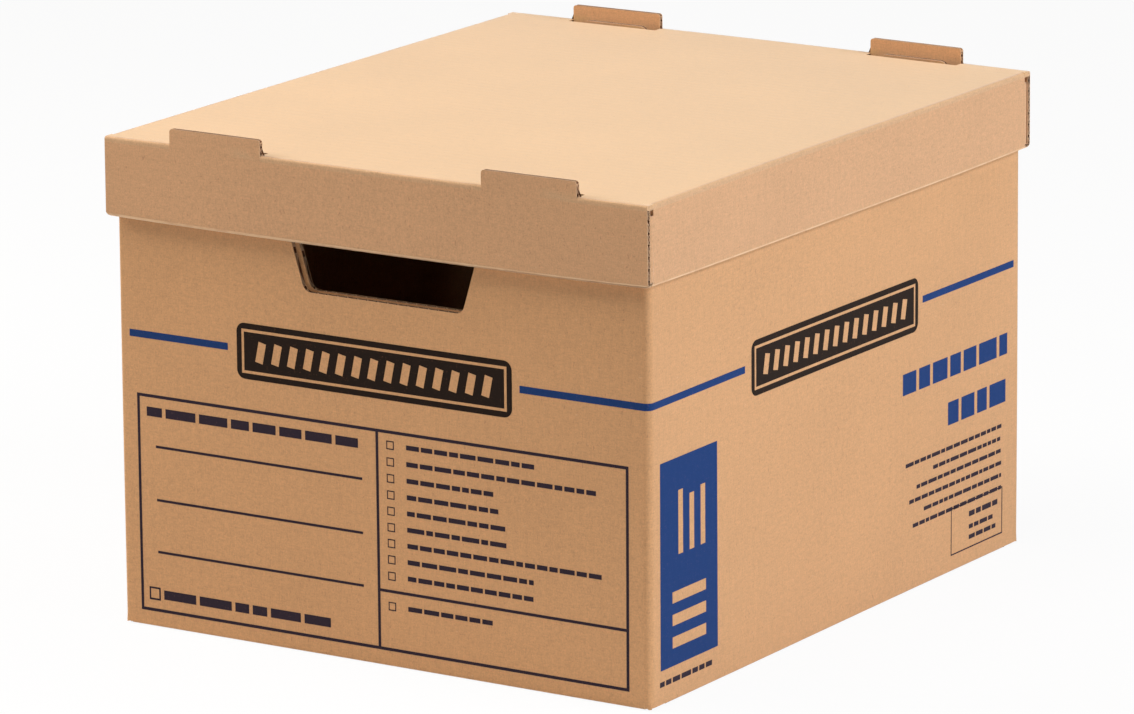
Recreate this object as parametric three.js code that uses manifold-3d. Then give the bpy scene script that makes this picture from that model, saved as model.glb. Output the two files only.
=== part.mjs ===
// A moving box with a lift-off lid, each folded from one sheet of corrugated board. Millimetres, +Z up.
// The origin is at the middle of the underside. X runs across the ends with the hand holes, Y along the box.

import * as THREE from "three";
import { mergeVertices } from "three/addons/utils/BufferGeometryUtils.js";
import Module from "manifold-3d";

// The board, and the air that plies and parts keep between them
const BOARD = 2.8;
const PLY_GAP = 0.3;
const LID_CLEARANCE = 0.3;
const FLAP_SEAM = 1.0;

// The room inside the body
const INSIDE_WIDTH = 325;
const INSIDE_LENGTH = 375;
const INSIDE_HEIGHT = 257.5;
const SIDE_EDGE_DROP = 1.0;

// Radius on the outside of each kind of fold
const CORNER_FOLD = 4.0;
const BASE_FOLD = 3.0;
const LID_FOLD = 3.0;
const EAR_FOLD = 3.0;
const FOLD_STEPS = 8;

// The base flaps: the end flaps run in at the floor, then rise over the ends of the side flaps
const SIDE_FLAP_SETBACK = 16;
const END_FLAP_RUN_IN = 1.0;
const END_FLAP_RAMP = 25;
const CORNER_FOOT = 0.8;

// The glued joint, inside the upright corner at -X and +Y
const JOINT_WIDTH = 35;
const JOINT_INSET = 9;
const GLUE_BITE = 0.02;

// The hand hole in each end: its sides lean in downwards, and the two plies are a little out of line
const HAND_HOLE_BOTTOM = 195.6;
const HAND_HOLE_HEIGHT = 33;
const HAND_HOLE_BOTTOM_WIDTH = 98;
const HAND_HOLE_TOP_WIDTH = 118;
const HAND_HOLE_CORNER = 6;
const HAND_HOLE_SHIFT = 3.2;
const INNER_PLY_SHIFT = 2.2;
const INNER_PLY_RISE = 0.8;

// The lid
const SIDE_FLANGE_DEPTH = 42.2;
const END_FLANGE_DROP = 1.0;
const FLANGE_CORNER = 3.0;
const EAR_LENGTH = 38;
const EAR_HEADROOM = 6;
const EAR_SIDE_GAP = 2;
const ROLL_SHOULDER = 7;

// The stacking tabs, the holes that they leave in the top, and the locking tabs in the holes
const TAB_WIDTH = 57.6;
const TAB_SPACING = 195;
const TAB_RISE = 8.3;
const TAB_CORNER = 2.0;
const HOLE_DEPTH = 8.3;
const LOCK_WIDTH = 43;
const LOCK_RISE = 0.8;
const LOCK_CORNER = 5;

// What follows from the sizes above
const END_WALL = 2 * BOARD + PLY_GAP;
const BASE = 2 * BOARD + PLY_GAP;
const BODY_WIDTH = INSIDE_WIDTH + 2 * BOARD;
const BODY_LENGTH = INSIDE_LENGTH + 2 * END_WALL;
const BODY_HEIGHT = BASE + INSIDE_HEIGHT;
const LID_WIDTH = BODY_WIDTH + 2 * (LID_CLEARANCE + BOARD);
const LID_LENGTH = BODY_LENGTH + 2 * (LID_CLEARANCE + END_WALL);
const LID_TOP = BODY_HEIGHT + LID_CLEARANCE + BOARD;
const ROLL_RADIUS = END_WALL / 2;
const END_FLANGE_DEPTH = SIDE_FLANGE_DEPTH + END_FLANGE_DROP;
const OVERLAP = 2;
const REACH = 1000;

const KRAFT = new THREE.Color(0.74, 0.55, 0.38);

const wasm = await Module();
wasm.setup();

// Turns a closed geometry into a solid that can be joined and cut.
function toSolid(geometry) {
  geometry.deleteAttribute("normal");
  geometry.deleteAttribute("uv");
  const merged = mergeVertices(geometry, 1e-4);
  const mesh = new wasm.Mesh({
    numProp: 3,
    vertProperties: new Float32Array(merged.attributes.position.array),
    triVerts: new Uint32Array(merged.index.array),
  });
  return new wasm.Manifold(mesh);
}

// Turns a solid back into a geometry for a mesh.
function toGeometry(solid) {
  const mesh = solid.getMesh();
  const geometry = new THREE.BufferGeometry();
  geometry.setAttribute("position", new THREE.BufferAttribute(new Float32Array(mesh.vertProperties), 3));
  geometry.setIndex(new THREE.BufferAttribute(new Uint32Array(mesh.triVerts), 1));
  geometry.computeVertexNormals();
  return geometry;
}

function joined(solids) {
  return solids.reduce((whole, next) => whole.add(next));
}

// A block between two corners.
function block(low, high) {
  const size = high.map((value, axis) => value - low[axis]);
  const geometry = new THREE.BoxGeometry(...size);
  geometry.translate(...low.map((value, axis) => value + size[axis] / 2));
  return toSolid(geometry);
}

// Which world axes an outline's first, second and extruded directions lie along.
const PLANES = {
  XY: new THREE.Matrix4(),
  XZ: new THREE.Matrix4().makeBasis(
    new THREE.Vector3(1, 0, 0), new THREE.Vector3(0, 0, 1), new THREE.Vector3(0, -1, 0)),
  YZ: new THREE.Matrix4().makeBasis(
    new THREE.Vector3(0, 1, 0), new THREE.Vector3(0, 0, 1), new THREE.Vector3(1, 0, 0)),
};

// An outline in one plane, extruded from low to high along the world axis that crosses the plane.
function prism(shape, plane, low, high) {
  const geometry = new THREE.ExtrudeGeometry(shape, {
    depth: high - low,
    bevelEnabled: false,
    curveSegments: FOLD_STEPS,
  });
  geometry.applyMatrix4(PLANES[plane]);
  const crossing = { XY: [0, 0, low], XZ: [0, high, 0], YZ: [low, 0, 0] }[plane];
  geometry.translate(...crossing);
  return toSolid(geometry);
}

// The edge-on outline of a folded strip of board. It starts with its middle at start, heading along the
// angle in degrees, and each step is a straight run or a bend with the radius of its outside.
function foldedStrip(start, heading, steps) {
  const left = [];
  const right = [];
  const place = new THREE.Vector2(...start);
  let angle = THREE.MathUtils.degToRad(heading);
  const mark = () => {
    const side = new THREE.Vector2(-Math.sin(angle), Math.cos(angle)).multiplyScalar(BOARD / 2);
    left.push(place.clone().add(side));
    right.push(place.clone().sub(side));
  };
  mark();
  for (const step of steps) {
    if (step.run !== undefined) {
      place.add(new THREE.Vector2(Math.cos(angle), Math.sin(angle)).multiplyScalar(step.run));
      mark();
    } else {
      const turn = THREE.MathUtils.degToRad(step.bend);
      const toCentre = Math.sign(turn) * (step.outside - BOARD / 2);
      const across = new THREE.Vector2(-Math.sin(angle), Math.cos(angle));
      const centre = place.clone().addScaledVector(across, toCentre);
      const count = Math.max(2, Math.ceil((Math.abs(step.bend) / 90) * FOLD_STEPS));
      for (let i = 0; i < count; i += 1) {
        angle += turn / count;
        place.set(Math.sin(angle), -Math.cos(angle)).multiplyScalar(toCentre).add(centre);
        mark();
      }
    }
  }
  return new THREE.Shape(left.concat(right.reverse()));
}

// A closed outline whose corners are rounded, each corner with its own radius.
function roundedOutline(corners) {
  const shape = new THREE.Shape();
  corners.forEach((corner, i) => {
    const here = new THREE.Vector2(corner.x, corner.y);
    const before = corners[(i + corners.length - 1) % corners.length];
    const after = corners[(i + 1) % corners.length];
    const back = new THREE.Vector2(before.x, before.y).sub(here).normalize();
    const ahead = new THREE.Vector2(after.x, after.y).sub(here).normalize();
    const cut = corner.radius > 0 ? corner.radius / Math.tan(Math.acos(back.dot(ahead)) / 2) : 0;
    const enter = here.clone().addScaledVector(back, cut);
    if (i === 0) {
      shape.moveTo(enter.x, enter.y);
    } else {
      shape.lineTo(enter.x, enter.y);
    }
    if (cut > 0) {
      const leave = here.clone().addScaledVector(ahead, cut);
      shape.quadraticCurveTo(here.x, here.y, leave.x, leave.y);
    }
  });
  shape.closePath();
  return shape;
}

function rectangle(left, right, bottom, top, bottomRadius, topRadius) {
  return roundedOutline([
    { x: left, y: bottom, radius: bottomRadius },
    { x: right, y: bottom, radius: bottomRadius },
    { x: right, y: top, radius: topRadius },
    { x: left, y: top, radius: topRadius },
  ]);
}

// A rectangle whose corners are true arcs, as the body's upright folds are.
function foldedRing(width, length, radius) {
  const x = width / 2;
  const y = length / 2;
  const shape = new THREE.Shape();
  shape.moveTo(x, -y + radius);
  shape.absarc(x - radius, y - radius, radius, 0, Math.PI / 2);
  shape.absarc(-x + radius, y - radius, radius, Math.PI / 2, Math.PI);
  shape.absarc(-x + radius, -y + radius, radius, Math.PI, 1.5 * Math.PI);
  shape.absarc(x - radius, -y + radius, radius, 1.5 * Math.PI, 2 * Math.PI);
  return shape;
}

// The same solid at the other end of the box: half a turn about +Z.
function otherEnd(solid) {
  return solid.rotate([0, 0, 180]);
}

// The same solid on the other long side, seen in a mirror.
function otherSide(solid) {
  return solid.mirror([1, 0, 0]);
}

// The four walls with their rounded upright folds, cut back where the flaps and the roll-over folds begin.
function walls() {
  const ring = foldedRing(BODY_WIDTH, BODY_LENGTH, CORNER_FOLD);
  ring.holes.push(foldedRing(BODY_WIDTH - 2 * BOARD, BODY_LENGTH - 2 * BOARD, CORNER_FOLD - BOARD));
  const tube = prism(ring, "XY", CORNER_FOOT, BODY_HEIGHT);
  const endReach = BODY_WIDTH / 2 - CORNER_FOLD;
  const sideReach = BODY_LENGTH / 2 - SIDE_FLAP_SETBACK;
  const topReach = BODY_LENGTH / 2 - CORNER_FOLD;
  const underEnds = block([-endReach, -REACH, -1], [endReach, REACH, BASE_FOLD]);
  const underSides = block([-REACH, -sideReach, -1], [REACH, sideReach, BASE_FOLD]);
  const above = BODY_HEIGHT + 1;
  const overEnd = block([-REACH, -REACH, BODY_HEIGHT - ROLL_RADIUS], [REACH, -topReach, above]);
  const overSides = block([-REACH, -topReach, BODY_HEIGHT - SIDE_EDGE_DROP], [REACH, topReach, above]);
  const cuts = joined([underEnds, underSides, overEnd, otherEnd(overEnd), overSides]);
  return tube.subtract(cuts);
}

// The glued joint: the end wall turns the corner inside the side wall, whose cut edge shows outside.
function gluedJoint() {
  const wallX = -BODY_WIDTH / 2;
  const endY = BODY_LENGTH / 2;
  const foldY = endY - CORNER_FOLD;
  const top = BODY_HEIGHT - ROLL_RADIUS;
  const square = block([wallX - 1, foldY, -1], [wallX + CORNER_FOLD, endY + 1, BODY_HEIGHT + 1]);
  const wallEnd = block([wallX, foldY - OVERLAP, CORNER_FOOT], [wallX + BOARD, endY - PLY_GAP, top]);
  const startX = wallX + BOARD - GLUE_BITE + CORNER_FOLD + OVERLAP;
  const strip = foldedStrip([startX, endY - BOARD / 2], 180, [
    { run: OVERLAP },
    { bend: 90, outside: CORNER_FOLD },
    { run: JOINT_WIDTH - CORNER_FOLD },
  ]);
  const upperStrip = prism(strip, "XY", BASE + JOINT_INSET, top);
  const shortStrip = foldedStrip([startX, endY - BOARD / 2], 180, [
    { run: OVERLAP },
    { bend: 90, outside: CORNER_FOLD },
  ]);
  const footStrip = prism(shortStrip, "XY", CORNER_FOOT, BASE + JOINT_INSET + OVERLAP);
  return { square, solids: [wallEnd, upperStrip, footStrip] };
}

// The outer base layer: a flap from each side wall, meeting under the middle of the box.
function sideFlap() {
  const wallX = BODY_WIDTH / 2 - BOARD / 2;
  const reach = BODY_LENGTH / 2 - SIDE_FLAP_SETBACK;
  const strip = foldedStrip([wallX, BASE_FOLD + OVERLAP], -90, [
    { run: OVERLAP },
    { bend: -90, outside: BASE_FOLD },
    { run: BODY_WIDTH / 2 - BASE_FOLD - FLAP_SEAM / 2 },
  ]);
  return prism(strip, "XZ", -reach, reach);
}

// The inner base layer: a flap from each end wall, which rises over the ends of the side flaps.
function endFlap() {
  const wallY = -BODY_LENGTH / 2 + BOARD / 2;
  const slope = THREE.MathUtils.degToRad(END_FLAP_RAMP);
  const bendRadius = BOARD;
  const middleRadius = bendRadius - BOARD / 2;
  const rise = BOARD + PLY_GAP;
  const rampRun = (rise - 2 * middleRadius * (1 - Math.cos(slope))) / Math.sin(slope);
  const rampLength = rampRun * Math.cos(slope) + 2 * middleRadius * Math.sin(slope);
  const used = BASE_FOLD + END_FLAP_RUN_IN + rampLength;
  const strip = foldedStrip([wallY, BASE_FOLD + OVERLAP], -90, [
    { run: OVERLAP },
    { bend: 90, outside: BASE_FOLD },
    { run: END_FLAP_RUN_IN },
    { bend: END_FLAP_RAMP, outside: bendRadius },
    { run: rampRun },
    { bend: -END_FLAP_RAMP, outside: bendRadius },
    { run: BODY_LENGTH / 2 - used - FLAP_SEAM / 2 },
  ]);
  const reach = BODY_WIDTH / 2 - CORNER_FOLD;
  return prism(strip, "YZ", -reach, reach);
}

// The second ply of an end wall: it rolls over the top edge and hangs inside, down to the base.
function rolledPly(left, right) {
  const wallY = -BODY_LENGTH / 2 + BOARD / 2;
  const strip = foldedStrip([wallY, BODY_HEIGHT - ROLL_RADIUS - OVERLAP], 90, [
    { run: OVERLAP },
    { bend: -180, outside: ROLL_RADIUS },
    { run: BODY_HEIGHT - ROLL_RADIUS - BASE - PLY_GAP },
  ]);
  return prism(strip, "YZ", left, right);
}

// The cutter for one ply of a hand hole.
function handHole(shiftX, shiftZ, nearY, farY) {
  const bottom = HAND_HOLE_BOTTOM + shiftZ;
  const shape = roundedOutline([
    { x: shiftX - HAND_HOLE_BOTTOM_WIDTH / 2, y: bottom, radius: HAND_HOLE_CORNER },
    { x: shiftX + HAND_HOLE_BOTTOM_WIDTH / 2, y: bottom, radius: HAND_HOLE_CORNER },
    { x: shiftX + HAND_HOLE_TOP_WIDTH / 2, y: bottom + HAND_HOLE_HEIGHT, radius: HAND_HOLE_CORNER },
    { x: shiftX - HAND_HOLE_TOP_WIDTH / 2, y: bottom + HAND_HOLE_HEIGHT, radius: HAND_HOLE_CORNER },
  ]);
  return prism(shape, "XZ", nearY, farY);
}

function handHoles() {
  const betweenPlies = -BODY_LENGTH / 2 + BOARD + PLY_GAP / 2;
  const outer = handHole(HAND_HOLE_SHIFT, 0, -BODY_LENGTH / 2 - OVERLAP, betweenPlies);
  const inner = handHole(
    HAND_HOLE_SHIFT + INNER_PLY_SHIFT, INNER_PLY_RISE, betweenPlies, -BODY_LENGTH / 2 + END_WALL + OVERLAP);
  return outer.add(inner);
}

function boxBody() {
  const plyReach = BODY_WIDTH / 2 - CORNER_FOLD - PLY_GAP;
  const joint = gluedJoint();
  const frontPly = rolledPly(-plyReach, plyReach);
  const backPly = otherEnd(rolledPly(-plyReach, plyReach - BOARD));
  const flaps = [sideFlap(), otherSide(sideFlap()), endFlap(), otherEnd(endFlap())];
  const sheet = joined([walls().subtract(joint.square), ...joint.solids, frontPly, backPly, ...flaps]);
  const holes = handHoles();
  return sheet.subtract(holes).subtract(otherEnd(holes));
}

// The lid's top with both side flanges, short of the ends.
function topAndSideFlanges() {
  const wallX = -LID_WIDTH / 2 + BOARD / 2;
  const reach = LID_LENGTH / 2 - BOARD - PLY_GAP - EAR_FOLD;
  const strip = foldedStrip([wallX, LID_TOP - SIDE_FLANGE_DEPTH], 90, [
    { run: SIDE_FLANGE_DEPTH - LID_FOLD },
    { bend: -90, outside: LID_FOLD },
    { run: LID_WIDTH - 2 * LID_FOLD },
    { bend: -90, outside: LID_FOLD },
    { run: SIDE_FLANGE_DEPTH - LID_FOLD },
  ]);
  return prism(strip, "XZ", -reach, reach);
}

// The ear at the -Y end of the +X side flange: it turns the corner behind the end flange.
function ear() {
  const wallX = LID_WIDTH / 2 - BOARD / 2;
  const outerY = -LID_LENGTH / 2 + BOARD + PLY_GAP;
  const strip = foldedStrip([wallX, outerY + EAR_FOLD + OVERLAP], -90, [
    { run: OVERLAP },
    { bend: -90, outside: EAR_FOLD },
    { run: EAR_LENGTH - EAR_FOLD },
  ]);
  const low = LID_TOP - END_FLANGE_DEPTH + ROLL_SHOULDER + PLY_GAP;
  const corner = prism(strip, "XY", low, LID_TOP - EAR_HEADROOM);
  const foot = foldedStrip([wallX, outerY + EAR_FOLD + OVERLAP], -90, [
    { run: OVERLAP },
    { bend: -45, outside: EAR_FOLD },
  ]);
  return corner.add(prism(foot, "XY", LID_TOP - SIDE_FLANGE_DEPTH, low + OVERLAP));
}

// The -Y end of the lid, edge on: the top's last strip, the end flange, and its roll at the bottom.
function endFlangeStrip() {
  const topStart = -LID_LENGTH / 2 + BOARD + PLY_GAP + EAR_FOLD + PLY_GAP;
  return foldedStrip([topStart, LID_TOP - BOARD / 2], 180, [
    { run: topStart + LID_LENGTH / 2 - LID_FOLD },
    { bend: 90, outside: LID_FOLD },
    { run: END_FLANGE_DEPTH - LID_FOLD - ROLL_RADIUS },
    { bend: 180, outside: ROLL_RADIUS },
    { run: END_FLANGE_DEPTH - ROLL_RADIUS - LID_FOLD - PLY_GAP },
  ]);
}

// The end flange's outline from the front. It has small round corners at the bottom.
function endFlange() {
  const outline = rectangle(
    -LID_WIDTH / 2, LID_WIDTH / 2, LID_TOP - END_FLANGE_DEPTH, LID_TOP + OVERLAP, FLANGE_CORNER, 0);
  const strip = prism(endFlangeStrip(), "YZ", -LID_WIDTH / 2, LID_WIDTH / 2);
  const trimmed = strip.intersect(prism(outline, "XZ", -REACH, REACH));
  const plyFront = -LID_LENGTH / 2 + BOARD + PLY_GAP / 2;
  const plyBack = -LID_LENGTH / 2 + END_WALL + PLY_GAP;
  const shoulderX = LID_WIDTH / 2 - EAR_LENGTH - EAR_SIDE_GAP;
  const rollTop = LID_TOP - END_FLANGE_DEPTH + ROLL_RADIUS;
  const shoulderZ = LID_TOP - END_FLANGE_DEPTH + ROLL_SHOULDER;
  const besidePly = block([shoulderX, plyFront, shoulderZ], [REACH, plyBack, LID_TOP - LID_FOLD]);
  const cornerX = LID_WIDTH / 2 - BOARD - PLY_GAP;
  const underEar = block([cornerX, plyFront, rollTop], [REACH, plyBack, shoulderZ + 1]);
  const sideCuts = besidePly.add(underEar);
  return trimmed.subtract(sideCuts).subtract(otherSide(sideCuts));
}

// One stacking tab with its hole and locking tab, centred on x.
function stackingTab(x) {
  const outerY = -LID_LENGTH / 2;
  const left = x - TAB_WIDTH / 2;
  const right = x + TAB_WIDTH / 2;
  const hole = block([left, outerY - 1, LID_TOP - LID_FOLD], [right, outerY + HOLE_DEPTH, LID_TOP + 1]);
  const tabShape = rectangle(left, right, LID_TOP - LID_FOLD - OVERLAP, LID_TOP + TAB_RISE, 0, TAB_CORNER);
  const tab = prism(tabShape, "XZ", outerY, outerY + BOARD);
  const lockFront = outerY + BOARD + PLY_GAP;
  const lockFoot = LID_TOP - LID_FOLD - 2 * OVERLAP;
  const lockLeft = x - LOCK_WIDTH / 2;
  const lockShape = rectangle(lockLeft, lockLeft + LOCK_WIDTH, lockFoot, LID_TOP + LOCK_RISE, 0, LOCK_CORNER);
  const lock = prism(lockShape, "XZ", lockFront, lockFront + BOARD);
  return { hole, solids: [tab, lock] };
}

function lidEnd() {
  const tabs = [-TAB_SPACING / 2, TAB_SPACING / 2].map(stackingTab);
  const flange = tabs.reduce((solid, tab) => solid.subtract(tab.hole), endFlange());
  return joined([flange, ...tabs.flatMap((tab) => tab.solids)]);
}

function lidSheet() {
  const tabs = [-TAB_SPACING / 2, TAB_SPACING / 2].map(stackingTab);
  const holes = joined(tabs.map((tab) => tab.hole));
  const top = topAndSideFlanges().subtract(holes).subtract(otherEnd(holes));
  const ears = ear().add(otherSide(ear()));
  const end = lidEnd();
  return joined([top, ears, otherEnd(ears), end, otherEnd(end)]);
}

function boardMesh(name, solid) {
  const material = new THREE.MeshStandardMaterial({ color: KRAFT, roughness: 0.9, metalness: 0 });
  const mesh = new THREE.Mesh(toGeometry(solid), material);
  mesh.name = name;
  return mesh;
}

const movingBox = new THREE.Group();
movingBox.add(boardMesh("box_body", boxBody()));
movingBox.add(boardMesh("lid", lidSheet()));

export default movingBox;
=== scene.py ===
# A moving box with a lift-off lid, dressed over its CAD parts: board, raw edges, flutes and print.
# Sizes are in millimetres until a mesh is finished, when it goes to metres. Lamps and floor are in metres.

import math
import random

import bmesh
import bpy
from mathutils import Matrix, Vector
from mathutils.bvhtree import BVHTree


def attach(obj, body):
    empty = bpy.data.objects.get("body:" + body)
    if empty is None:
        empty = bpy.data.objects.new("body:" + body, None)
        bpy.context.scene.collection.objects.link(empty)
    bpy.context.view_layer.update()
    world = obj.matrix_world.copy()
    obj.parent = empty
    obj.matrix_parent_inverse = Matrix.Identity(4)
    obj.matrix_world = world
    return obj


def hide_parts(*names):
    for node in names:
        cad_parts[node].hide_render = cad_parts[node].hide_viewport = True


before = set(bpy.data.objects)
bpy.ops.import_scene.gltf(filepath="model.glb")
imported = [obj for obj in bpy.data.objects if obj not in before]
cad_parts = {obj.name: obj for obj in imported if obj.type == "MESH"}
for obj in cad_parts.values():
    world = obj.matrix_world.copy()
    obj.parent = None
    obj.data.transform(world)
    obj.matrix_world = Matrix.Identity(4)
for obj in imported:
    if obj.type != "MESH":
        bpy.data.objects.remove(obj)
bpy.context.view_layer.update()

MM = 0.001

# The board: thickness, its two liners, and the wave of the layer between them
BOARD = 2.8
LINER = 0.28
FLUTE_PITCH = 6.25
FLUTE_DEPTH = 1.6
FLUTE_PAPER = 0.22
FLUTE_HEIGHT = BOARD - 2 * LINER - FLUTE_PAPER
POINTS_PER_FLUTE = 9

# The air between plies that lie against each other
AIR = 0.3

# The body: its outside faces, the folds between its walls, and one layer of its base with some air
BODY_HALF_WIDTH = 165.3
BODY_HALF_LENGTH = 193.4
BODY_CORNER = 4.0
BASE_LAYER = 2.95

# The outside radius of all other folds, and how square their scores make them: 2 would be round
FOLD = 3.0
FOLD_SHARPNESS = 5

# The lid: its outside faces, its ears, the inside of its end flanges, and how low its flanges reach
LID_HALF_WIDTH = 168.4
LID_HALF_LENGTH = 199.6
LID_TOP = 266.5
EAR_LENGTH = 38
LID_END_LAYERS = 5.9
LID_END_INSIDE = LID_HALF_LENGTH - LID_END_LAYERS - 0.2
SIDE_FLANGE_LOW = 224.3
END_FLANGE_LOW = 223.3

# How far up its bottom roll an end flange's painted highlight is raised
ROLL_HIGHLIGHT_RISE = 1.2

# How much lower the lid's flanges hang in the middle than at the corners
SIDE_FLANGE_SAG = 1.2
END_FLANGE_SAG = 0.95

# How far the boards stray from flat, always inwards
STRAY = 0.45

# The grid that meshes are cut along, so that they can bend
MESH_STEP = 12

# The angle in degrees from which an edge is sharp
SHARP_ANGLE = 30

# How near a point is to a face that it counts as on, and how near two points are that become one
TOUCH = 0.1
WELD = 0.002

# Print lies this far proud of the board, and its round corners have this many steps
INK_PROUD = 0.05
OVERPRINT_PROUD = 0.09
ARC_STEPS = 6

# The blue line round the walls, and the left, right, bottom and top of the plaques
BAND_LOW = 158.2
BAND_HIGH = 162.1
END_PLAQUE = (-89.6, 82.1, 144, 174.3)
SIDE_PLAQUE = (-92.5, 81.4, 143.8, 173.7)

# Colours, linear
KRAFT = (0.68, 0.372, 0.176)
LID_KRAFT = (0.67, 0.383, 0.203)
# Painted light: the lid's top is mixed towards this paler colour, as light from above falls on it
TOP_PAINTED_LIGHT = (0.80, 0.53, 0.235)
# Painted sheen: a paler, less orange colour for the folds round the lid's top
CREASE_PAINTED_SHEEN = (0.66, 0.415, 0.23)
KRAFT_DARK = (0.36, 0.155, 0.075)
KRAFT_PALE = (0.84, 0.57, 0.34)
FLUTE_KRAFT = (0.70, 0.46, 0.29)
BLUE_INK = (0.011, 0.045, 0.175)
BLACK_INK = (0.028, 0.018, 0.030)
BROWN_INK = (0.012, 0.005, 0.002)
FLOOR_GREY = (0.8, 0.8, 0.8)
WHITE = (1.0, 1.0, 1.0)
WARM_LIGHT = (1.0, 0.93, 0.85)
COOL_LIGHT = (0.97, 1.0, 1.05)

# How much pale light the paper's loose fibres catch at a slant
PAPER_FUZZ = 1.0

# What the lamps are aimed at, and half the floor's width and how far it lies below the box, in metres
LAMP_TARGET = Vector((0, 0, 0.13))
FLOOR_HALF_WIDTH = 12
FLOOR_DROP = 0.0004

# The camera, from the fit to the photo
CAMERA_AZIMUTH = 32.498
CAMERA_ELEVATION = 13.699
CAMERA_DISTANCE = 3992.3
CAMERA_SIDE_SHIFT = -6.06
CAMERA_RISE = 122.13
CAMERA_ROLL = 0.457
CAMERA_LENS = 232.25


class Wire:
    """One output of a node tree. Python's operators on it add Math nodes."""

    def __init__(self, nodes, socket):
        self.nodes = nodes
        self.socket = socket

    def maths(self, operation, first, second):
        return self.nodes.add("Math", {"operation": operation}, {0: first, 1: second})

    def __add__(self, other):
        return self.maths("ADD", self, other)

    def __radd__(self, other):
        return self.maths("ADD", other, self)

    def __sub__(self, other):
        return self.maths("SUBTRACT", self, other)

    def __rsub__(self, other):
        return self.maths("SUBTRACT", other, self)

    def __mul__(self, other):
        return self.maths("MULTIPLY", self, other)

    def __truediv__(self, other):
        return self.maths("DIVIDE", self, other)


class Nodes:
    """A node tree, with one method that adds any node to it."""

    def __init__(self, tree):
        self.tree = tree
        tree.nodes.clear()

    def add(self, kind, settings=None, values=None, output=0):
        """Adds a node, sets its settings, then sets or links its sockets, and gives one of its outputs."""
        full_kind = kind if "Node" in kind else "ShaderNode" + kind
        node = self.tree.nodes.new(full_kind)
        for name, setting in (settings or {}).items():
            if name == "stops":
                set_stops(node.color_ramp, setting)
            else:
                setattr(node, name, setting)
        for name, value in (values or {}).items():
            if isinstance(value, Wire):
                self.tree.links.new(value.socket, node.inputs[name])
            else:
                node.inputs[name].default_value = value
        if not node.outputs:
            return None
        return Wire(self, node.outputs[output])

    def mix(self, factor, first, second, blend="MIX"):
        """Mixes two colours."""
        settings = {"data_type": "RGBA", "blend_type": blend}
        return self.add("Mix", settings, {0: factor, 6: first, 7: second}, output=2)

    def sine(self, value):
        return self.add("Math", {"operation": "SINE"}, {0: value})

    def ramp(self, value, *stops):
        """Maps a value through grey stops, each a position and a level."""
        return self.add("ValToRGB", {"stops": stops}, {0: value})

    def noise(self, place, scale, detail=2.0, roughness=0.5):
        """Noise from 0 to 1 whose features come scale times a millimetre."""
        values = {"Vector": place, "Scale": scale, "Detail": detail, "Roughness": roughness}
        return self.add("TexNoise", None, values)


def set_stops(ramp, stops):
    """Gives a colour ramp its grey stops."""
    while len(ramp.elements) < len(stops):
        ramp.elements.new(1.0)
    for element, (position, level) in zip(ramp.elements, stops):
        element.position = position
        element.color = (level, level, level, 1.0)


def colour(rgb):
    """A colour with nothing seen through it."""
    return (*rgb, 1.0)


def place_in_mm(nodes, stretch=(1, 1, 1)):
    """The point on the object in millimetres, with each axis squeezed by its stretch."""
    coordinates = nodes.add("TexCoord", output="Object")
    scale = tuple(1 / MM / part for part in stretch)
    return nodes.add("VectorMath", {"operation": "MULTIPLY"}, {0: coordinates, 1: scale})


def attribute(nodes, name):
    """A number that the mesh's points or faces carry."""
    return nodes.add("Attribute", {"attribute_name": name}, output="Fac")


def scaled(nodes, vector, factor):
    """A colour or a vector times a number."""
    return nodes.add("VectorMath", {"operation": "SCALE"}, {0: vector, "Scale": factor})


def relief(nodes, height):
    """The normal of a surface with a height in millimetres."""
    return nodes.add("Bump", None, {"Strength": 0.5, "Distance": MM, "Height": height})


def washboard(nodes):
    """The faint wave that the flutes press into the board's face, from -1 to 1."""
    place = place_in_mm(nodes)
    wander = (nodes.noise(place, 0.02) - 0.5) * 1.4
    turns = attribute(nodes, "flute") / FLUTE_PITCH + wander
    wave = nodes.sine(turns * (2 * math.pi))
    strength = nodes.ramp(nodes.noise(place, 0.035), (0.35, 0.25), (0.7, 1.0))
    return wave * strength


def paper_grain(nodes):
    """Fibres and mottle of the paper, about 0.5 with small swings either way."""
    fine = nodes.noise(place_in_mm(nodes), 1.15, detail=3.0, roughness=0.6)
    fibres = nodes.noise(place_in_mm(nodes, (1, 1, 4.5)), 1.2, detail=2.0, roughness=0.6)
    threads = nodes.noise(place_in_mm(nodes, (5, 5, 1)), 1.2, detail=2.0, roughness=0.6)
    return fine * 0.5 + fibres * 0.25 + threads * 0.25


def kraft_colour(nodes, base):
    """Brown kraft paper: mottled, fibrous and flecked, with painted shade of the flutes' faint wave."""
    place = place_in_mm(nodes)
    cloud = nodes.noise(place, 0.012, detail=3.0)
    # The grain is halved on the lid's top, under its painted light
    grain = (paper_grain(nodes) - 0.5) * (1.0 - attribute(nodes, "calm") * 0.5)
    # The washboard term is painted shade of the flutes' ridges
    tone = grain + (cloud - 0.5) * 0.14 + washboard(nodes) * 0.012 + 1.0
    dark_spots = nodes.noise(place_in_mm(nodes, (1, 1, 2)), 0.75, detail=1.0)
    flecks = nodes.ramp(dark_spots, (0.70, 0.0), (0.76, 1.0))
    dotted = nodes.mix(flecks * 0.35, scaled(nodes, base, tone), colour(KRAFT_DARK))
    pale_spots = nodes.noise(place_in_mm(nodes, (2, 2, 1)), 0.62, detail=1.0)
    glints = nodes.ramp(pale_spots, (0.72, 0.0), (0.79, 1.0))
    return nodes.mix(glints * 0.3, dotted, colour(KRAFT_PALE))


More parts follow.
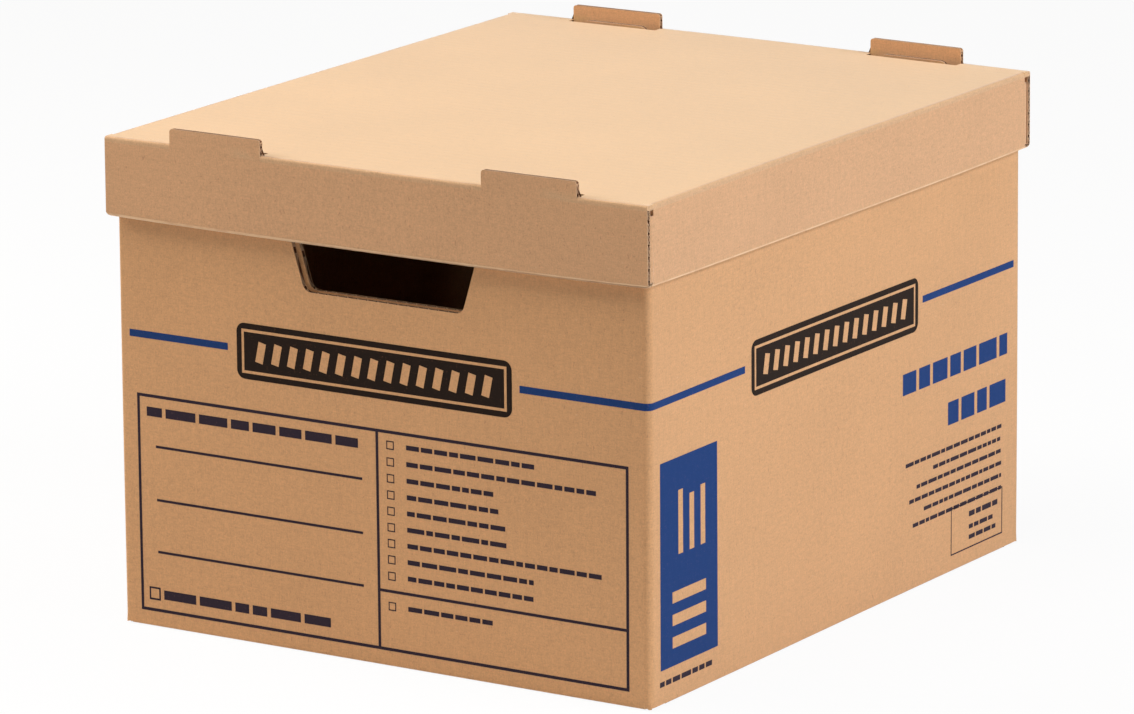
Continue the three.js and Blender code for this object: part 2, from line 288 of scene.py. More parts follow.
def finished(material, nodes, base, roughness, normal=None, fuzz=0.0, shine=0.25):
    """Ends a material's tree in one Principled shader."""
    values = {
        "Base Color": base, "Roughness": roughness, "Specular IOR Level": shine,
        "Sheen Weight": fuzz, "Sheen Roughness": 0.3}
    if normal:
        values["Normal"] = normal
    surface = nodes.add("BsdfPrincipled", None, values)
    nodes.add("OutputMaterial", None, {"Surface": surface})
    return material


def new_material(name):
    """A material and its empty node tree."""
    material = bpy.data.materials.new(name)
    material.use_nodes = True
    return material, Nodes(material.node_tree)


def flange_painted_highlight(nodes):
    """A painted highlight: the pale line along the bottom of the lid's flanges, broken here and there."""
    height = attribute(nodes, "hem")
    broken = nodes.ramp(nodes.noise(place_in_mm(nodes), 0.11), (0.36, 0.45), (0.55, 1.0))
    return nodes.ramp(height, (0.6, 1.0), (0.9, 0.0)) * broken


def board_face(name, tint):
    """The board's faces, with its cut liners' pale rim, and painted light on the lid's top, its folds and
    flange bottoms.
    """
    material, nodes = new_material(name)
    # Painted light: the lid's top is mixed towards a paler colour
    tone = nodes.mix(attribute(nodes, "calm") * 0.6, colour(tint), colour(TOP_PAINTED_LIGHT))
    # Painted sheen on the folds round the lid's top
    tone = nodes.mix(attribute(nodes, "crease") * 0.8, tone, colour(CREASE_PAINTED_SHEEN))
    base = kraft_colour(nodes, tone)
    rim = attribute(nodes, "rim") * 0.8
    # The cut rim's pale is the liners' own colour; the pale line along the flanges' bottoms is a painted
    # highlight
    pale_rim_and_highlight = nodes.add("Math", {"operation": "MAXIMUM"}, {0: rim, 1: flange_painted_highlight(nodes)})
    base = nodes.mix(pale_rim_and_highlight, base, colour(KRAFT_PALE))
    normal = relief(nodes, washboard(nodes) * 0.02 + paper_grain(nodes) * 0.12)
    roughness = 0.50 + paper_grain(nodes) * 0.16
    return finished(material, nodes, base, roughness, normal, PAPER_FUZZ)


def cut_depth_painted_shade():
    """Painted shade: the dark colour of the sunk depth between the liners of a cut edge."""
    material, nodes = new_material("cut_depth_painted_shade")
    shade = nodes.ramp(nodes.noise(place_in_mm(nodes), 0.8), (0.3, 0.30), (0.7, 0.62))
    base = nodes.mix(1.0, colour(KRAFT_DARK), shade, "MULTIPLY")
    return finished(material, nodes, base, 0.95)


def flute_paper():
    """The wavy paper between the liners."""
    material, nodes = new_material("flute_paper")
    base = scaled(nodes, FLUTE_KRAFT, 0.75 + paper_grain(nodes) * 0.5)
    return finished(material, nodes, base, 0.92)


def ink(name, tint):
    """Flexographic ink, a little thin over the paper's fibres."""
    material, nodes = new_material(name)
    grain = paper_grain(nodes)
    inked = scaled(nodes, tint, 0.7 + grain * 0.6)
    thin = nodes.ramp(grain, (0.56, 0.0), (0.72, 1.0))
    base = nodes.mix(thin * 0.22, inked, colour(KRAFT_DARK))
    normal = relief(nodes, washboard(nodes) * 0.035 + grain * 0.08)
    return finished(material, nodes, base, 0.55 + grain * 0.2, normal, shine=0.12)


def settled(point):
    """Where a point goes once the boards sag and bow a little. It never goes outwards."""
    x, y, z = point
    side_bow = 0.5 + 0.5 * math.sin(y * 0.017 + z * 0.011 + 0.6)
    end_bow = 0.5 + 0.5 * math.sin(x * 0.019 - z * 0.013 + 1.9)
    top_sag = 0.5 + 0.5 * math.sin(x * 0.016 + y * 0.012 + 2.6)
    return Vector((
        x - STRAY * x / LID_HALF_WIDTH * side_bow,
        y - STRAY * y / LID_HALF_LENGTH * end_bow,
        z - STRAY * z / LID_TOP * top_sag))


def sharper_fold(across, along, middle_across, middle_along, fold=FOLD):
    """Moves a point near the outside of a fold outwards, as the score makes the fold tighter than round.

    The push is whole on the outside and fades to nothing 1 mm inside it.
    """
    sideways = (abs(across) - middle_across) / fold
    onwards = (along - middle_along) / fold
    if sideways <= 0 or onwards <= 0:
        return across, along
    radius = math.hypot(sideways, onwards)
    if radius > 1.02:
        return across, along
    share = max(0.0, 1 - (1 - radius) * fold)
    power = FOLD_SHARPNESS
    push = (radius / (sideways ** power + onwards ** power) ** (1 / power) - 1) * min(share, 1.0)
    sideways *= 1 + push
    onwards *= 1 + push
    return math.copysign(middle_across + sideways * fold, across), middle_along + onwards * fold


def scored_body(point):
    """The body with tight folds at its bottom and its corners, but for the softer front right corner."""
    x, y, z = point
    if x < 0 or y > 0:
        x, far = sharper_fold(
            x, abs(y), BODY_HALF_WIDTH - BODY_CORNER, BODY_HALF_LENGTH - BODY_CORNER, BODY_CORNER)
        y = math.copysign(far, y)
    x, up = sharper_fold(x, -z, BODY_HALF_WIDTH - FOLD, -FOLD)
    y, up = sharper_fold(y, up, BODY_HALF_LENGTH - FOLD, -FOLD)
    return Vector((x, y, -up))


def within(value, limit):
    """The value, but no further from 0 than the limit."""
    return max(-limit, min(limit, value))


def scored_lid(point):
    """The lid with tight folds, and flanges that hang a little lower in the middle."""
    x, y, z = point
    if abs(y) < LID_END_INSIDE:
        x, z = sharper_fold(x, z, LID_HALF_WIDTH - FOLD, LID_TOP - FOLD)
    y, z = sharper_fold(y, z, LID_HALF_LENGTH - FOLD, LID_TOP - FOLD)
    if z < LID_TOP - FOLD:
        ear_fold = LID_HALF_LENGTH - BOARD - AIR - FOLD
        x, far = sharper_fold(x, abs(y), LID_HALF_WIDTH - FOLD, ear_fold)
        y = math.copysign(far, y)
    depth = max(0.0, (LID_TOP - FOLD - z) / (LID_TOP - FOLD - END_FLANGE_LOW))
    if abs(y) > LID_END_INSIDE:
        sag = END_FLANGE_SAG * (1 - (x / LID_HALF_WIDTH) ** 4)
    else:
        sag = SIDE_FLANGE_SAG * (1 - abs(y / LID_HALF_LENGTH) ** 3)
    return Vector((within(x, LID_HALF_WIDTH), y, z - depth * sag))


def hem_of_lid(point):
    """How far in millimetres a point of the lid is above its flange's bottom, or a little up an end flange's
    roll, for the painted highlight there.
    """
    low = SIDE_FLANGE_LOW
    if abs(point.y) > LID_END_INSIDE:
        low = END_FLANGE_LOW + ROLL_HIGHLIGHT_RISE
    return point.z - low


def cut_into_cells(work):
    """Cuts a mesh along a grid of planes, so that it can bend between them."""
    for axis, reach in enumerate((LID_HALF_WIDTH, LID_HALF_LENGTH, LID_TOP)):
        steps = int(reach / MESH_STEP) + 1
        for step in range(-steps, steps + 1):
            place = [0, 0, 0]
            place[axis] = (step + 0.5) * MESH_STEP
            normal = [0, 0, 0]
            normal[axis] = 1
            everything = work.verts[:] + work.edges[:] + work.faces[:]
            bmesh.ops.bisect_plane(
                work, geom=everything, dist=0.001, plane_co=place, plane_no=normal)


def finished_object(name, work, materials):
    """Makes an object of a mesh in millimetres, settled with the boards, with sharp and smooth edges."""
    for vertex in work.verts:
        vertex.co = settled(vertex.co) * MM
    work.normal_update()
    for face in work.faces:
        face.smooth = True
    for edge in work.edges:
        edge.smooth = len(edge.link_faces) == 2 and edge.calc_face_angle() < math.radians(SHARP_ANGLE)
    mesh = bpy.data.meshes.new(name)
    work.to_mesh(mesh)
    work.free()
    for material in materials:
        mesh.materials.append(material)
    thing = bpy.data.objects.new(name, mesh)
    bpy.context.scene.collection.objects.link(thing)
    return thing


def body_flute_place(point):
    """How far round the walls a point of the body is. A base flap counts on from its wall."""
    to_side = BODY_HALF_WIDTH - abs(point.x)
    to_end = BODY_HALF_LENGTH - abs(point.y)
    if min(to_side, to_end) > 2 * BODY_CORNER and point.z < 2 * BASE_LAYER + 1:
        to_side, to_end = point.z - BASE_LAYER, BASE_LAYER - point.z
    if to_end <= to_side:
        return point.x * math.copysign(1, -point.y) + math.copysign(BODY_HALF_LENGTH * 2, point.y)
    return (BODY_HALF_WIDTH + BODY_HALF_LENGTH + point.y) * math.copysign(1, point.x)


def lid_flute_place(point):
    """How far across its flutes a point of the lid is. They run along X in the top and the end flanges."""
    if abs(point.y) < LID_HALF_LENGTH - LID_END_LAYERS:
        return point.y
    is_inner_layer = abs(point.y) < LID_HALF_LENGTH - BOARD - TOUCH
    if is_inner_layer and abs(point.x) > LID_HALF_WIDTH - EAR_LENGTH - 1:
        return point.x
    return math.copysign(LID_HALF_LENGTH + LID_TOP - point.z, point.y)


def is_closed_corner(point):
    """Whether a point is at one of the lid's top corners, where the fold hides the cut edge."""
    reach = 9
    x, y, z = point
    return abs(x) > BODY_HALF_WIDTH and abs(y) > LID_HALF_LENGTH - reach and z > LID_TOP - reach


def mark_raw_faces(work):
    """Finds the faces that were cut through the board: the way in behind them is longer than two boards."""
    raw = work.faces.layers.int.new("raw")
    around = BVHTree.FromBMesh(work)
    start_depth = 0.02
    for face in work.faces:
        middle = face.calc_center_median()
        far = around.ray_cast(middle - face.normal * start_depth, -face.normal)[3]
        face[raw] = int((far is None or far > 2.1 * BOARD) and not is_closed_corner(middle))
    return raw


def outer_liner(work, raw):
    """The faces of the liner that is outermost in the folded sheet, found by walking over its folds."""
    faces = [face for face in work.faces if not face[raw]]
    first = max(faces, key=lambda face: face.calc_center_median().x)
    found = {first}
    waiting = [first]
    while waiting:
        face = waiting.pop()
        for edge in face.edges:
            for neighbour in edge.link_faces:
                if not neighbour[raw] and neighbour not in found:
                    found.add(neighbour)
                    waiting.append(neighbour)
    return found


def mean_way(faces):
    """The way that some faces point between them, long enough to reach as far along each one's own way."""
    ways = []
    for face in faces:
        if all(face.normal.dot(way) < 0.999 for way in ways):
            ways.append(face.normal.copy())
    if not ways:
        return None
    mean = sum(ways, Vector()).normalized()
    return mean / max(mean.dot(ways[0]), 0.6)


def skins_at(vertex, raw):
    """The liner faces that a corner of a cut face belongs to, across outward bends only."""
    skins = []
    for edge in vertex.link_edges:
        cut = [face for face in edge.link_faces if face[raw]]
        skin = [face for face in edge.link_faces if not face[raw]]
        if len(cut) == 1 and len(skin) == 1 and edge.is_convex:
            skins += skin
    return skins


def edge_lines(work, raw, flute_place):
    """Lines along the middle of the board's cut edges, for the flutes to follow."""
    liner = outer_liner(work, raw)
    lines = bmesh.new()
    across = lines.verts.layers.float_vector.new("across")
    inward = lines.verts.layers.float_vector.new("inward")
    place = lines.verts.layers.float.new("flute")
    made = {}
    for edge in work.edges:
        cut = [face for face in edge.link_faces if face[raw]]
        skin = [face for face in edge.link_faces if face in liner]
        if len(cut) != 1 or len(skin) != 1 or not edge.is_convex:
            continue
        for vertex in edge.verts:
            if vertex not in made:
                outward = mean_way(skins_at(vertex, raw))
                middle = lines.verts.new(vertex.co - outward * BOARD / 2)
                middle[across] = outward.normalized()
                middle[inward] = -mean_way(face for face in vertex.link_faces if face[raw])
                middle[place] = flute_place(vertex.co)
                made[vertex] = middle
        lines.edges.new([made[vertex] for vertex in edge.verts])
    return lines


def open_cut_edges(work, raw):
    """Sinks the cut faces between their two liners, which keep a narrow rim."""
    rim = work.faces.layers.float.new("rim")
    cut_faces = [face for face in work.faces if face[raw]]
    lips = {}
    floors = {}
    for vertex in {vertex for face in cut_faces for vertex in face.verts}:
        skin = mean_way(skins_at(vertex, raw))
        way_out = mean_way(face for face in vertex.link_faces if face[raw])
        lips[vertex] = vertex
        if skin:
            lips[vertex] = work.verts.new(vertex.co - skin * LINER)
        floors[vertex] = work.verts.new(lips[vertex].co - way_out * FLUTE_DEPTH)
    for face in cut_faces:
        corners = face.verts[:]
        for near, far in zip(corners, corners[1:] + corners[:1]):
            edge = work.edges.get((near, far))
            if all(neighbour[raw] for neighbour in edge.link_faces):
                continue
            outline = [near, far, lips[far], lips[near]]
            outline = [vertex for place, vertex in enumerate(outline) if vertex not in outline[:place]]
            if len(outline) > 2:
                work.faces.new(outline)[rim] = 1.0
            # The sunk walls and floor take the second material: painted shade
            work.faces.new((lips[near], lips[far], floors[far], floors[near])).material_index = 1
        work.faces.new([floors[vertex] for vertex in corners]).material_index = 1
    bmesh.ops.delete(work, geom=cut_faces, context="FACES")


def new_geometry_tree(name, kinds, result):
    """An empty Geometry Nodes tree: its nodes, a wire for each input, and the tree with its identifiers."""
    tree = bpy.data.node_groups.new(name, "GeometryNodeTree")
    identifiers = {}
    for label, kind in kinds.items():
        socket = tree.interface.new_socket(label, in_out="INPUT", socket_type="NodeSocket" + kind)
        identifiers[label] = socket.identifier
    tree.interface.new_socket(result, in_out="OUTPUT", socket_type="NodeSocketGeometry")
    nodes = Nodes(tree)
    entry = tree.nodes.new("NodeGroupInput")
    given = {label: Wire(nodes, entry.outputs[label]) for label in kinds}
    return nodes, given, (tree, identifiers)


def stored(nodes, name, kind="FLOAT_VECTOR"):
    """What a mesh's points carry under a name, in Geometry Nodes."""
    return nodes.add("GeometryNodeInputNamedAttribute", {"data_type": kind}, {"Name": name})


def end_tree(nodes, geometry, finish):
    """Makes the instances real, gives all of it one material and hands it out."""
    real = nodes.add("GeometryNodeRealizeInstances", None, {"Geometry": geometry})
    dressed = nodes.add("GeometryNodeSetMaterial", None, {"Geometry": real, "Material": finish})
    nodes.add("NodeGroupOutput", None, {0: dressed})


def flute_tree():
    """Geometry Nodes: a wavy ribbon of paper along each line, going in between the liners."""
    kinds = {
        "Lines": "Geometry", "Pitch": "Float", "Height": "Float", "Depth": "Float", "Paper": "Float",
        "Finish": "Material"}
    nodes, given, tree = new_geometry_tree("flute_ribbons", kinds, "Ribbons")
    curve = nodes.add("GeometryNodeMeshToCurve", None, {"Mesh": given["Lines"]})
    step = given["Pitch"] / POINTS_PER_FLUTE
    points = nodes.add("GeometryNodeResampleCurve", {"mode": "LENGTH"}, {"Curve": curve, "Length": step})
    turns = stored(nodes, "flute", "FLOAT") / given["Pitch"]
    swing = nodes.sine(turns * (2 * math.pi)) * given["Height"] * 0.5
    offset = scaled(nodes, stored(nodes, "across"), swing)
    waved = nodes.add("GeometryNodeSetPosition", None, {"Geometry": points, "Offset": offset})
    lines = nodes.add("GeometryNodeCurveToMesh", None, {"Curve": waved})
    strip = nodes.add(
        "GeometryNodeExtrudeMesh", {"mode": "EDGES"},
        {"Mesh": lines, "Offset": stored(nodes, "inward"), "Offset Scale": given["Depth"]})
    ribbon = nodes.add(
        "GeometryNodeExtrudeMesh", {"mode": "FACES"},
        {"Mesh": strip, "Offset Scale": given["Paper"], "Individual": False})
    end_tree(nodes, ribbon, given["Finish"])
    return tree


def grown(name, source, tree, inputs):
    """Runs a Geometry Nodes tree on a mesh and gives the result as an open bmesh."""
    mesh = bpy.data.meshes.new(name)
    source.to_mesh(mesh)
    source.free()
    carrier = bpy.data.objects.new(name, mesh)
    bpy.context.scene.collection.objects.link(carrier)
    group, identifiers = tree
    modifier = carrier.modifiers.new(name, "NODES")
    modifier.node_group = group
    for label, value in inputs.items():
        modifier[identifiers[label]] = value
    evaluated = carrier.evaluated_get(bpy.context.evaluated_depsgraph_get())
    plain = bpy.data.meshes.new_from_object(evaluated)
    carrier.modifiers.remove(modifier)
    bpy.data.objects.remove(carrier)
    result = bmesh.new()
    result.from_mesh(plain)
    bpy.data.meshes.remove(plain)
    return result


def cad_mesh(node):
    """The mesh of one CAD node in millimetres, open for work."""
    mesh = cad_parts[node].data.copy()
    mesh.transform(Matrix.Scale(1 / MM, 4))
    work = bmesh.new()
    work.from_mesh(mesh)
    bpy.data.meshes.remove(mesh)
    bmesh.ops.remove_doubles(work, verts=work.verts, dist=WELD)
    return work


def mark_surface(work, node, flute_place):
    """Marks where the flutes run, the flanges' hems, and the lid's top and the creases round it, which get
    painted light.
    """
    flute = work.verts.layers.float.new("flute")
    hem = work.verts.layers.float.new("hem")
    calm = work.verts.layers.float.new("calm")
    crease = work.verts.layers.float.new("crease")
    for vertex in work.verts:
        vertex[flute] = flute_place(vertex.co)
        # The height above the flange's bottom places the painted highlight there
        vertex[hem] = hem_of_lid(vertex.co) if node == "lid" else 1.0
        # The lid's top is marked for painted light
        vertex[calm] = float(node == "lid" and abs(vertex.co.z - LID_TOP) < TOUCH)
        # The folds round the lid's top are marked for painted sheen
        vertex[crease] = float(node == "lid" and LID_TOP - FOLD < vertex.co.z < LID_TOP - TOUCH)


def dressed_board(node, flute_place, scored, finishes, ribbons):
    """The board of one CAD node with open cut edges, and the flutes in them, as two objects."""
    work = cad_mesh(node)
    raw = mark_raw_faces(work)
    cut_into_cells(work)
    lines = edge_lines(work, raw, flute_place)
    open_cut_edges(work, raw)
    mark_surface(work, node, flute_place)
    for vertex in work.verts:
        vertex.co = scored(vertex.co)
    shell = finished_object(node + "_board", work, finishes)
    inputs = {
        "Pitch": FLUTE_PITCH, "Height": FLUTE_HEIGHT, "Depth": FLUTE_DEPTH, "Paper": FLUTE_PAPER,
        "Finish": flute_paper()}
    paper = grown(node + "_flutes", lines, ribbons, inputs)
    for vertex in paper.verts:
        vertex.co = scored(vertex.co)
    flutes = finished_object(node + "_flutes", paper, [inputs["Finish"]])
    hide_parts(node)
    return shell, flutes


def wall_frame(wall):
    """The way across a wall, and the way out of it."""
    turn = {"front": 0, "right": math.pi / 2, "back": math.pi, "left": -math.pi / 2}[wall]
    across = Vector((math.cos(turn), math.sin(turn), 0))
    out = Vector((math.sin(turn), -math.cos(turn), 0))
    return across, out


def on_wall(wall, across, height, proud=INK_PROUD):
    """A point on one of the body's four walls, just proud of it."""
    along, out = wall_frame(wall)
    depth = BODY_HALF_LENGTH if wall in ("front", "back") else BODY_HALF_WIDTH
    return along * across + out * (depth + proud) + Vector((0, 0, height))


def mark_tree():
    """Geometry Nodes: a printed bar on each point, with the point's own size and turn."""
    kinds = {"Points": "Geometry", "Finish": "Material"}
    nodes, given, tree = new_geometry_tree("printed_marks", kinds, "Marks")
    sheet = nodes.add(
        "GeometryNodeMeshGrid", None,
        {"Size X": 1.0, "Size Y": 1.0, "Vertices X": 2, "Vertices Y": 2})
    turn = nodes.add("FunctionNodeEulerToRotation", None, {"Euler": stored(nodes, "turn")})
    marks = nodes.add(
        "GeometryNodeInstanceOnPoints", None,
        {"Points": given["Points"], "Instance": sheet, "Rotation": turn, "Scale": stored(nodes, "size")})
    end_tree(nodes, marks, given["Finish"])
    return tree


class Print:
    """Everything of one ink: bars to be set by Geometry Nodes, and fields drawn as outlines."""

    def __init__(self, name, finish, proud=INK_PROUD):
        self.name = name
        self.finish = finish
        self.proud = proud
        self.points = bmesh.new()
        self.size = self.points.verts.layers.float_vector.new("size")
        self.turn = self.points.verts.layers.float_vector.new("turn")
        self.fields = bmesh.new()

    def bar(self, wall, left, right, bottom, top, tilt=0.0):
        """A plain bar, turned by tilt about its middle."""
        along, out = wall_frame(wall)
        middle = on_wall(wall, (left + right) / 2, (bottom + top) / 2, self.proud)
        frame_of_wall = Matrix((along, (0, 0, 1), out)).transposed()
        turned = frame_of_wall @ Matrix.Rotation(tilt, 3, "Z")
        point = self.points.verts.new(middle)
        point[self.size] = (right - left, top - bottom, 1.0)
        point[self.turn] = turned.to_euler()

    def outline(self, wall, left, right, bottom, top, line):
        """Four bars round an open rectangle."""
        self.bar(wall, left, right, bottom, bottom + line)
        self.bar(wall, left, right, top - line, top)
        self.bar(wall, left, left + line, bottom + line, top - line)
        self.bar(wall, right - line, right, bottom + line, top - line)

    def words(self, wall, left, right, bottom, top, seed):
        """A line of writing greeked to bars of mixed length."""
        lengths = random.Random(seed)
        height = top - bottom
        place = left
        while place < right - height:
            end = min(place + height * lengths.uniform(1.6, 4.2), right)
            self.bar(wall, place, end, bottom, top)
            place = end + height * 0.45

    def field(self, corners):
        """A flat printed area with any outline."""
        self.fields.faces.new([self.fields.verts.new(corner) for corner in corners])

    def finished(self, marks):
        """The ink as one object on the body."""
        bars = grown(self.name, self.points, marks, {"Finish": self.finish})
        joint = bpy.data.meshes.new(self.name + "_bars")
        bars.to_mesh(joint)
        bars.free()
        self.fields.from_mesh(joint)
        bpy.data.meshes.remove(joint)
        cut_into_cells(self.fields)
        flute = self.fields.verts.layers.float.new("flute")
        hem = self.fields.verts.layers.float.new("hem")
        for vertex in self.fields.verts:
            vertex[flute] = body_flute_place(vertex.co)
            vertex[hem] = 1.0
            vertex.co = scored_body(vertex.co)
        thing = finished_object(self.name, self.fields, [self.finish])
        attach(thing, "box")


def rounded_corners(left, right, bottom, top, radius):
    """The outline of a rectangle with rounded corners, as pairs across and up."""
    corners = ((right, top, 0), (left, top, 90), (left, bottom, 180), (right, bottom, 270))
    outline = []
    for across, height, start in corners:
        middle_across = across - math.copysign(radius, across - (left + right) / 2)
        middle_height = height - math.copysign(radius, height - (bottom + top) / 2)
        for step in range(ARC_STEPS + 1):
            angle = math.radians(start + step * 90 / ARC_STEPS)
            outline.append((
                middle_across + radius * math.cos(angle), middle_height + radius * math.sin(angle)))
    return outline


def plaque(brown, bare, wall, left, right, bottom, top):
    """A dark plaque with a bare line inside its edge and a row of slanting bare bars."""
    radius = 5
    line = 1.5
    line_inset = 3.2
    half_bar = 2.4
    bar_inset = 9.5
    bar_tilt = math.radians(-12)
    bar_count = 15
    outline = rounded_corners(left, right, bottom, top, radius)
    brown.field([on_wall(wall, *place, brown.proud) for place in outline])
    bare.outline(wall, left + line_inset, right - line_inset, bottom + line_inset, top - line_inset, line)
    row_start = left + line_inset + 7
    pitch = (right - left - 2 * (line_inset + 7)) / bar_count
    for step in range(bar_count):
        middle = row_start + (step + 0.5) * pitch
        bare.bar(wall, middle - half_bar, middle + half_bar, bottom + bar_inset, top - bar_inset, bar_tilt)


def blue_line(blue, wall, start, end):
    """A straight stretch of the line round the walls."""
    blue.bar(wall, start, end, BAND_LOW, BAND_HIGH)


def blue_line_round_corner(blue, start, end):
    """The line round the body's front right corner, from a place on the front to one on the right wall."""
    radius = BODY_CORNER + blue.proud
    middle = Vector((BODY_HALF_WIDTH - BODY_CORNER, -BODY_HALF_LENGTH + BODY_CORNER, 0))
    path = [on_wall("front", start, 0, blue.proud)]
    for step in range(ARC_STEPS + 1):
        angle = math.radians(-90 + step * 90 / ARC_STEPS)
        path.append(middle + radius * Vector((math.cos(angle), math.sin(angle), 0)))
    path.append(on_wall("right", end, 0, blue.proud))
    low = Vector((0, 0, BAND_LOW))
    high = Vector((0, 0, BAND_HIGH))
    for near, far in zip(path, path[1:]):
        blue.field((near + low, far + low, far + high, near + high))


def writing_label(black):
    """The label frame on the front: rules to write on at the left, a list of tick boxes at the right."""
    left = -154.9
    right = 152.5
    bottom = 8.4
    top = 127.8
    line = 1.7
    divider = -1.0
    black.outline("front", left, right, bottom, top, line)
    black.bar("front", divider - line, divider, bottom + line, top - line)
    black.bar("front", divider, right - line, 40.1, 41.7)
    black.words("front", -148.8, -13.7, 115.8, 120.9, 1)
    rule_heights = (99.5, 70.2, 41.6)
    half_rule = 0.7
    for height in rule_heights:
        black.bar("front", -143.3, -11.4, height - half_rule, height + half_rule)
    black.outline("front", -149.5, -142.2, 14.7, 21.9, 1.0)
    black.words("front", -140, -32.7, 15.7, 20.8, 2)
    row_ends = (95.9, 132.8, 72.4, 74.2, 78.9, 78.2, 136, 94.5, 95, 69)
    row_heights = (119.9, 110.9, 102, 93.1, 84.4, 75.6, 66.9, 58.1, 49.2, 32.8)
    half_tick_box = 2.35
    half_word = 1.3
    for row, (end, height) in enumerate(zip(row_ends, row_heights)):
        black.outline("front", 4.0, 8.7, height - half_tick_box, height + half_tick_box, 0.6)
        black.words("front", 16.3, end, height - half_word, height + half_word, 10 + row)


def size_block(blue, black, bare):
    """The blue block at the front edge of the right wall, with bare bars in it and a line of bars below."""
    left = -183.7
    right = -127.3
    bottom = 18.6
    top = 128.5
    outline = ((left, bottom), (right, bottom), (right, top), (left, top))
    blue.field([on_wall("right", *place, blue.proud) for place in outline])
    for row in range(3):
        low = 28 + row * 12
        bare.bar("right", -172, -139, low, low + 6)
    upright_lengths = (34, 30, 32)
    for step, length in enumerate(upright_lengths):
        place = -166 + step * 11
        bare.bar("right", place, place + 4.5, 77, 77 + length)
    black.words("right", -184.4, -132.1, 9.9, 12.7, 31)


def right_wall_notes(blue, black):
    """Blue and black lines of bars towards the back of the right wall, set from the right."""
    blue_end = 180.3
    blue_gap = 3
    blue_rows = ((65.4, 110.6, 122.5), (114.6, 83.7, 96.6))
    for row, (place, low, high) in enumerate(blue_rows):
        lengths = random.Random(50 + row)
        while place < 176:
            end = min(place + lengths.uniform(9, 20), blue_end)
            blue.bar("right", place, end, low, high)
            place = end + blue_gap
    black_starts = (68.8, 98.7, 80.7, 72.8, 88.7, 76.8)
    half_word = 1.1
    for row, start in enumerate(black_starts):
        height = 70.8 - row * 7
        black.words("right", start, 174.3, height - half_word, height + half_word, 70 + row)
    black.outline("right", 118.6, 175.8, 9.1, 36, 0.8)
    black.words("right", 138.5, 170.3, 27, 30, 90)
    black.words("right", 138.5, 166.3, 20, 22.5, 91)
    black.words("right", 138.5, 168.3, 14.1, 16.6, 92)


def printed_body():
    """All the print: the blue line and plaques on every wall, the label on the front, notes on the right."""
    blue = Print("blue_print", ink("blue_ink", BLUE_INK))
    black = Print("black_print", ink("black_ink", BLACK_INK))
    brown = Print("plaques", ink("brown_ink", BROWN_INK))
    bare = Print("bare_board", board_face("bare_board", KRAFT), OVERPRINT_PROUD)
    for wall in ("front", "back"):
        blue_line(blue, wall, -159, -95.3)
        plaque(brown, bare, wall, *END_PLAQUE)
    for wall in ("right", "left"):
        blue_line(blue, wall, 86.2, 187.2)
        plaque(brown, bare, wall, *SIDE_PLAQUE)
    blue_line_round_corner(blue, 86.7, -98.9)
    blue_line(blue, "back", 86.7, 161)
    blue_line(blue, "left", -189, -98.9)
    writing_label(black)
    size_block(blue, black, bare)
    right_wall_notes(blue, black)
    marks = mark_tree()
    for print_of_one_ink in (blue, black, brown, bare):
        print_of_one_ink.finished(marks)


def showing_ray(nodes):
    """1 for a ray that shows what it meets, straight, mirrored or through, and 0 for one that lights it."""
    camera = nodes.add("LightPath", output="Is Camera Ray")
    mirrored = nodes.add("LightPath", output="Is Glossy Ray")
    through = nodes.add("LightPath", output="Is Transmission Ray")
    return nodes.add("Math", {"operation": "MINIMUM"}, {0: camera + mirrored + through, 1: 1.0})


def floor():
    """A white floor that the camera sees almost evenly white, with the box's own soft shadow on it."""
    material, nodes = new_material("studio_floor")
    lit = nodes.add("BsdfDiffuse", None, {"Color": colour(FLOOR_GREY)})
    seen = nodes.add("Emission", None, {"Color": colour(WHITE), "Strength": 1.0})
    share = showing_ray(nodes) * 0.93
    surface = nodes.add("MixShader", None, {0: share, 1: lit, 2: seen})
    nodes.add("OutputMaterial", None, {"Surface": surface})
    work = bmesh.new()
    bmesh.ops.create_grid(work, x_segments=1, y_segments=1, size=FLOOR_HALF_WIDTH)
    mesh = bpy.data.meshes.new("floor")
    work.to_mesh(mesh)
    work.free()
    mesh.materials.append(material)
    thing = bpy.data.objects.new("floor", mesh)
    thing.location = (0, 0, -FLOOR_DROP)
    bpy.context.scene.collection.objects.link(thing)


def direction(azimuth, elevation):
    """The way from the box to something round it. Azimuth 0 is the front, 90 the right."""
    turn = math.radians(azimuth)
    lift = math.radians(elevation)
    return Vector((
        math.sin(turn) * math.cos(lift), -math.cos(turn) * math.cos(lift), math.sin(lift)))


def softbox(name, azimuth, elevation, distance, size, power, tint):
    """A square area lamp aimed at the middle of the box."""
    lamp = bpy.data.lights.new(name, "AREA")
    lamp.shape = "SQUARE"
    lamp.size = size
    lamp.energy = power
    lamp.color = tint
    thing = bpy.data.objects.new(name, lamp)
    way = direction(azimuth, elevation)
    thing.location = LAMP_TARGET + way * distance
    thing.rotation_mode = "QUATERNION"
    thing.rotation_quaternion = (-way).to_track_quat("-Z", "Y")
    bpy.context.scene.collection.objects.link(thing)


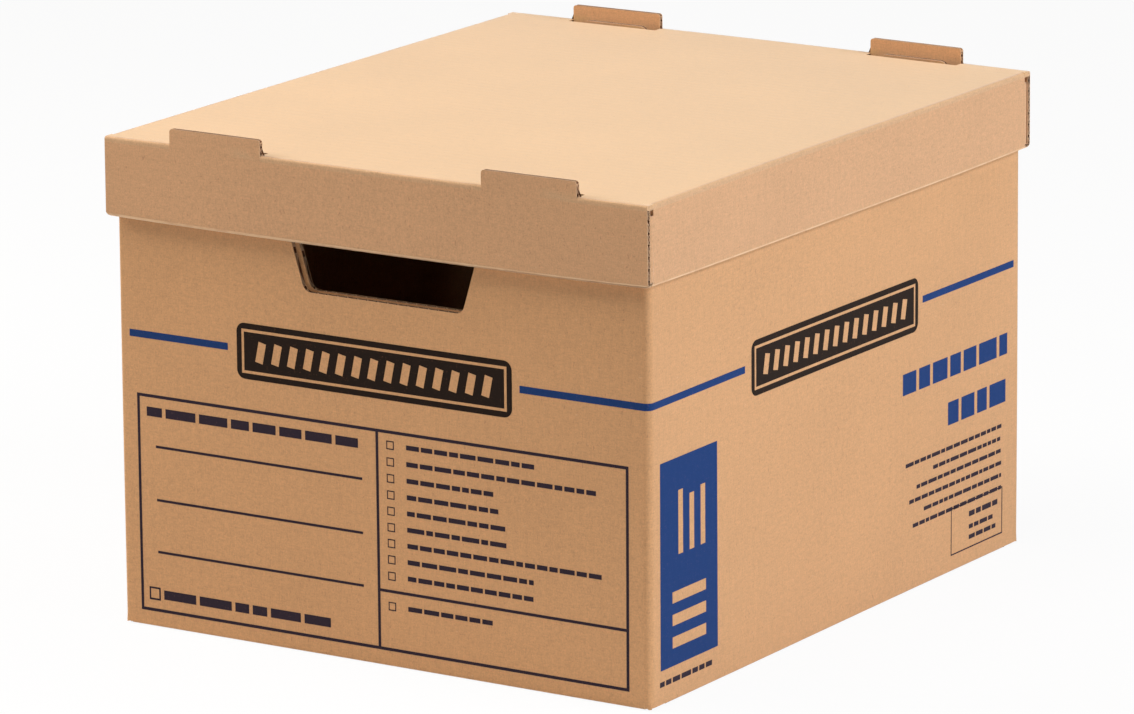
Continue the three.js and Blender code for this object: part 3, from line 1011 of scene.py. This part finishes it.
def studio_light():
    """Soft lamps high in front and at the left, a little warm, and at the right, a little cool."""
    softbox("high_lamp", azimuth=-6, elevation=70, distance=2.6, size=1.5, power=36, tint=WARM_LIGHT)
    softbox("right_lamp", azimuth=98, elevation=30, distance=2.6, size=1.5, power=49, tint=COOL_LIGHT)
    softbox("left_lamp", azimuth=-75, elevation=32, distance=1.75, size=0.9, power=23, tint=WARM_LIGHT)
    world = bpy.data.worlds.new("studio_air")
    world.use_nodes = True
    nodes = Nodes(world.node_tree)
    faint_glow = 0.03
    strength = faint_glow + showing_ray(nodes) * (1 - faint_glow)
    air = nodes.add("Background", None, {"Color": colour(WHITE), "Strength": strength})
    nodes.add("OutputWorld", None, {"Surface": air})
    bpy.context.scene.world = world


def photo_camera():
    """The camera at the photo's place, with its small roll."""
    way = direction(CAMERA_AZIMUTH, CAMERA_ELEVATION)
    turn = math.radians(CAMERA_AZIMUTH)
    right = Vector((math.cos(turn), math.sin(turn), 0))
    up = way.cross(right)
    target = right * CAMERA_SIDE_SHIFT + up * CAMERA_RISE
    roll = math.radians(CAMERA_ROLL)
    rolled_right = right * math.cos(roll) - up * math.sin(roll)
    rolled_up = right * math.sin(roll) + up * math.cos(roll)
    lens = bpy.data.cameras.new("photo_camera")
    lens.lens = CAMERA_LENS
    lens.sensor_width = 36
    lens.clip_start = 0.1
    lens.clip_end = 60
    thing = bpy.data.objects.new("photo_camera", lens)
    axes = Matrix((rolled_right, rolled_up, way)).transposed()
    thing.matrix_world = Matrix.Translation((target + way * CAMERA_DISTANCE) * MM) @ axes.to_4x4()
    bpy.context.scene.collection.objects.link(thing)
    bpy.context.scene.camera = thing


def moving_box():
    """Both boards with their flutes, then the print."""
    ribbons = flute_tree()
    cut_shade = cut_depth_painted_shade()
    parts = (
        ("box_body", "box", "body_board", KRAFT, body_flute_place, scored_body),
        ("lid", "lid", "lid_board", LID_KRAFT, lid_flute_place, scored_lid))
    for node, body, slot, tint, flute_place, scored in parts:
        # The second finish is the painted shade inside the cut edges
        finishes = [board_face(slot + "_face", tint), cut_shade]
        for thing in dressed_board(node, flute_place, scored, finishes, ribbons):
            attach(thing, body)
    printed_body()


moving_box()
floor()
studio_light()
photo_camera()
bpy.context.scene.view_settings.view_transform = "Standard"
